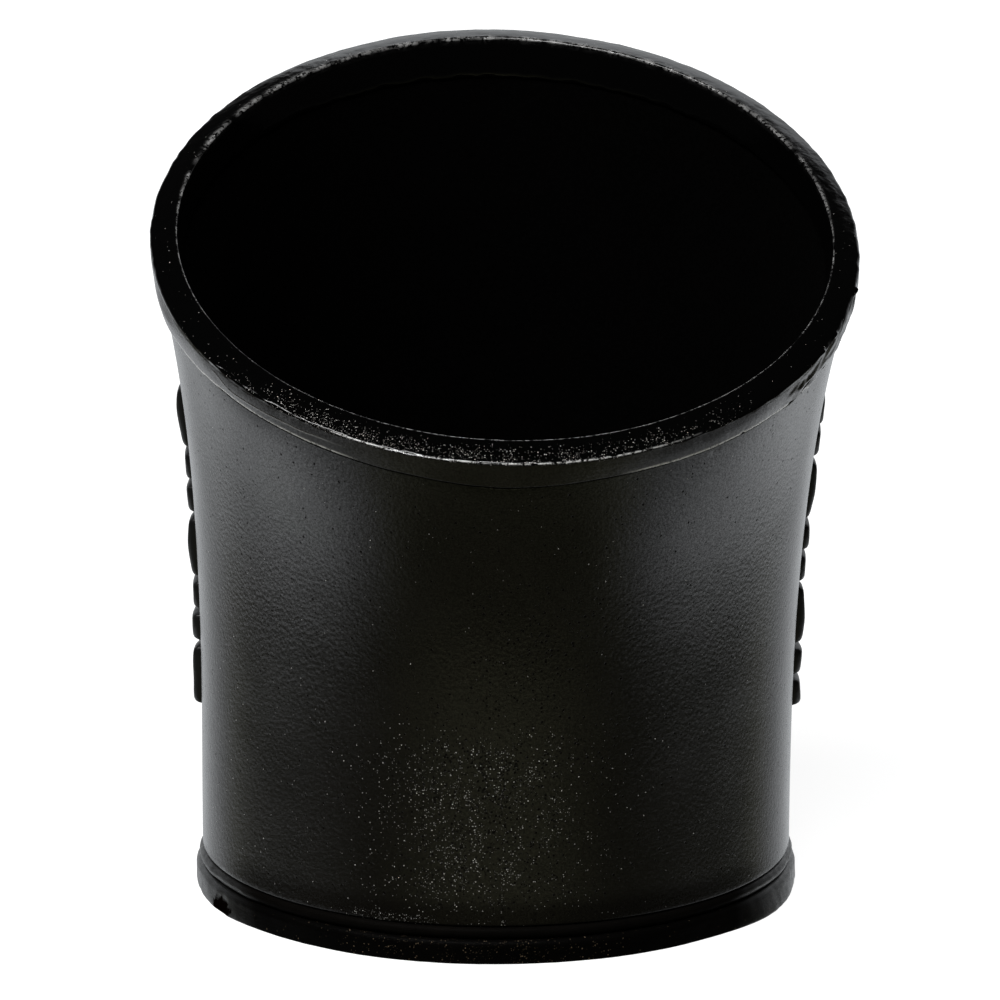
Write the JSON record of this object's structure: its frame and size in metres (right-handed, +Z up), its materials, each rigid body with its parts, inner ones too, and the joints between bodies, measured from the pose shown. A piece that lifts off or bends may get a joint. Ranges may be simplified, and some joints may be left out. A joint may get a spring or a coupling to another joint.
{
  "type": "dice cup",
  "caption": "Black leather dice cup: straight foot, wall flaring to a wide mouth that leans to the front, turned edge binding, bead and sole disc at the foot.",
  "frame": {"origin": "centre of the flat underside, where the cup stands", "axes": "+Z up; -Y is the front, where the mouth is lowest and the wall's butt seam runs; +X to the right seen from the front"},
  "size_m": [0.1, 0.0999, 0.1129],
  "materials": {
    "outer_leather": "satin",
    "edge_leather": "gloss",
    "foot_leather": "satin",
    "lining_leather": "matte",
    "board": "matte"
  },
  "bodies": {
    "root": {"outer_sleeve": "outer_leather", "edge_binding": "edge_leather", "wall_core": "board", "lining_sleeve": "lining_leather", "relief_bars": "outer_leather", "welt_ring": "foot_leather", "sole_disc": "foot_leather", "base_board": "board", "floor_lining": "lining_leather"}
  },
  "joints": []
}
